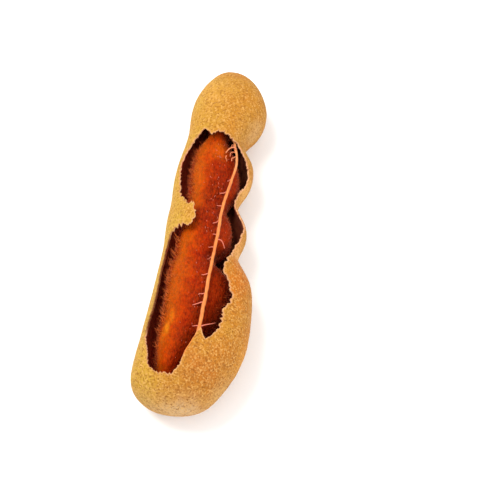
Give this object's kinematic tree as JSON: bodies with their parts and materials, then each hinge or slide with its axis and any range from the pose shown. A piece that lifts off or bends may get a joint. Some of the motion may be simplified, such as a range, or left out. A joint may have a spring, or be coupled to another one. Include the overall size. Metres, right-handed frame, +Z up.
{
  "type": "tamarind pod",
  "caption": "Ripe tamarind pod lying on its side, its brittle tan shell broken open along the top to show sticky red-brown pulp and the seam strand that lies on it.",
  "frame": {"origin": "on the resting surface, under the middle of the pod's bounding box", "axes": "+Z up; +Y along the pod, from the blossom end to the stalk end; +X towards the side with the deep waists"},
  "size_m": [0.0307, 0.1071, 0.0239],
  "materials": {
    "shell": "dry brittle rind, tan, finely scurfy, matt",
    "pulp": "sticky fibrous flesh, red-brown to orange, slightly moist",
    "string": "dry plant fibre, orange tan, satin"
  },
  "bodies": {
    "root": {"shell": "shell", "pulp": "pulp", "string": "string"}
  },
  "joints": []
}
